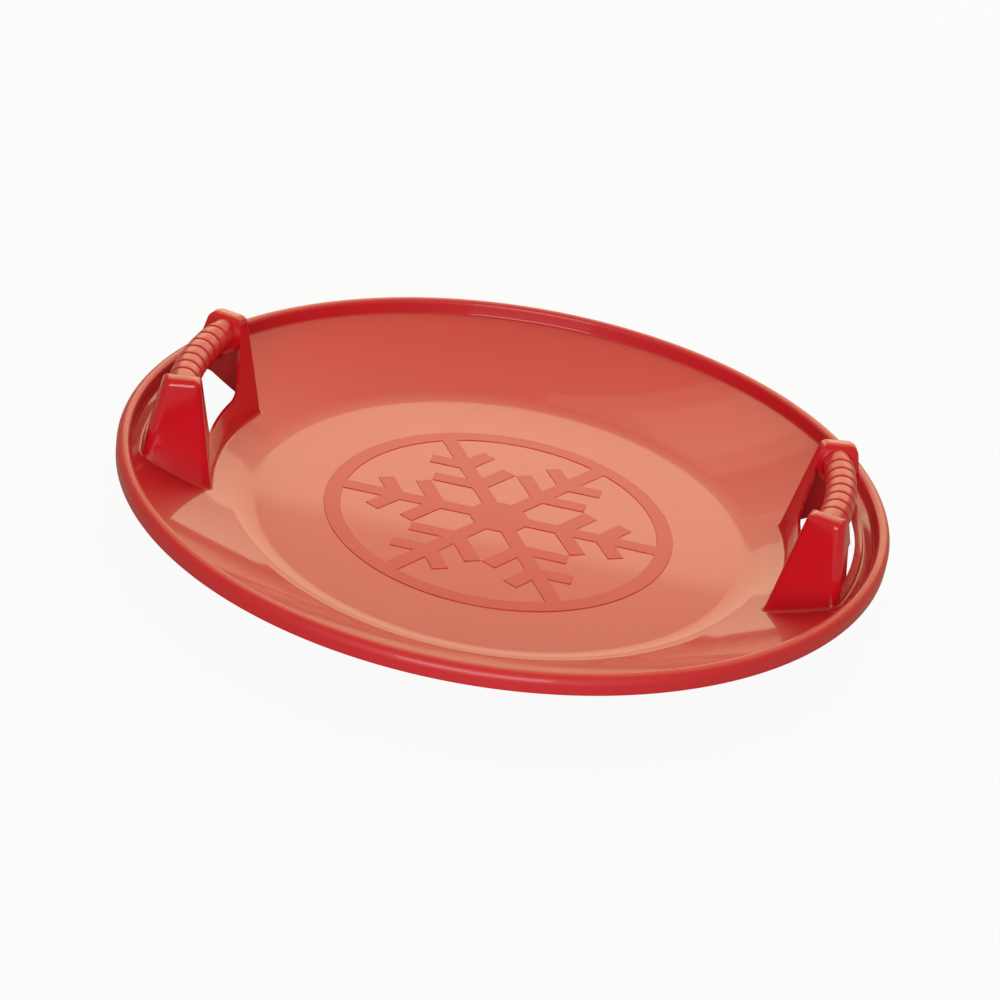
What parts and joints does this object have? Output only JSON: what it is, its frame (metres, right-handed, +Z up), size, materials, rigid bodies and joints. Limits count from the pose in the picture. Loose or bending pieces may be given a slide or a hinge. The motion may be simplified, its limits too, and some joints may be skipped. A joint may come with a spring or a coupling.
{
  "type": "saucer sled",
  "caption": "Round shallow plastic snow sled with a flat floor, flared wall, folded rim, raised snow-crystal relief and a bridge handle with a ribbed bowed grip on each side.",
  "frame": {"origin": "on the ground under the middle of the floor", "axes": "+Z up, +X through the right handle, -Y towards the front"},
  "size_m": [0.5999, 0.6, 0.098],
  "materials": {
    "shell": "glossy moulded red"
  },
  "bodies": {
    "root": {"floor_pan": "shell", "flared_wall": "shell", "rim": "shell", "floor_relief": "shell", "right_sill": "shell", "left_sill": "shell", "right_outer_lip": "shell", "left_outer_lip": "shell", "right_front_post": "shell", "right_rear_post": "shell", "left_front_post": "shell", "left_rear_post": "shell", "right_grip": "shell", "left_grip": "shell"}
  },
  "joints": []
}
